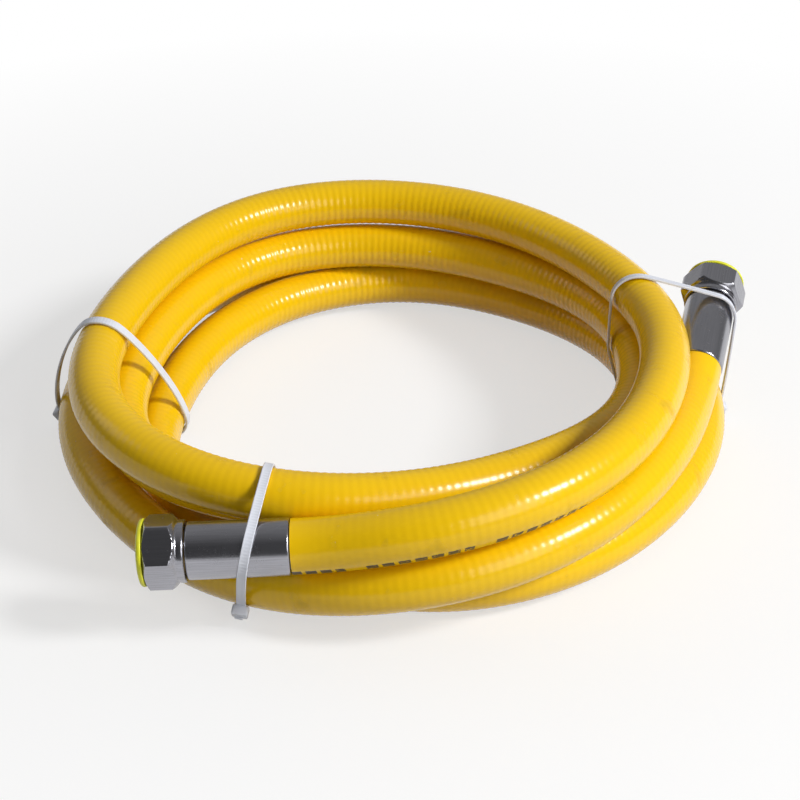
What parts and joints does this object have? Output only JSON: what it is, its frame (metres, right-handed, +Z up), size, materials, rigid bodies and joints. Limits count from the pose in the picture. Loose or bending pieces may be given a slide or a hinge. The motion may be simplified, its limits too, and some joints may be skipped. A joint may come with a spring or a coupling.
{
  "type": "flexible gas hose",
  "caption": "Coiled flexible hose with a smooth jacket over a corrugated liner, a swivel union nut and dust cap on each end, held by cable ties.",
  "frame": {"origin": "centre of the object's outline, on the surface that the coil lies on", "axes": "+Z up, the coil lies flat; -Y is the side that the picture is taken from, with fitting a, and +X is the side of fitting b"},
  "size_m": [0.299, 0.3032, 0.0658],
  "materials": {
    "jacket": "soft golden yellow PVC, satin, the ribs of the liner showing through as faint rings",
    "liner": "corrugated stainless steel, hidden",
    "plated": "bright nickel plate",
    "tailpiece": "turned brass, hidden",
    "seal": "black rubber, hidden",
    "cap": "lemon yellow moulded plastic",
    "tie": "natural white nylon, slightly translucent"
  },
  "bodies": {
    "hose": {"hose_jacket": "jacket", "hose_liner": "liner", "ferrule_a": "plated", "ferrule_b": "plated", "tailpiece_a": "tailpiece", "tailpiece_b": "tailpiece", "cable_tie_front": "tie", "cable_tie_left": "tie", "cable_tie_right": "tie"},
    "nut_a": {"union_nut_a": "plated", "seal_washer_a": "seal"},
    "nut_b": {"union_nut_b": "plated", "seal_washer_b": "seal"},
    "cap_a": {"dust_cap_a": "cap"},
    "cap_b": {"dust_cap_b": "cap"}
  },
  "joints": [
    {"name": "nut_a_swivel", "type": "hinge", "parent": "hose", "child": "nut_a", "pos_m": [-0.08528, -0.1382, 0.03771], "axis": [-0.9987, 0, -0.0506], "continuous": true},
    {"name": "nut_b_swivel", "type": "hinge", "parent": "hose", "child": "nut_b", "pos_m": [0.13516, 0.03705, 0.05018], "axis": [0.25, 0.9267, 0.2807], "continuous": true},
    {"name": "cap_a_pull", "type": "slide", "parent": "nut_a", "child": "cap_a", "axis": [-0.9987, 0, -0.0506], "range_m": [0, 0.02]},
    {"name": "cap_b_pull", "type": "slide", "parent": "nut_b", "child": "cap_b", "axis": [0.25, 0.9267, 0.2807], "range_m": [0, 0.02]}
  ]
}
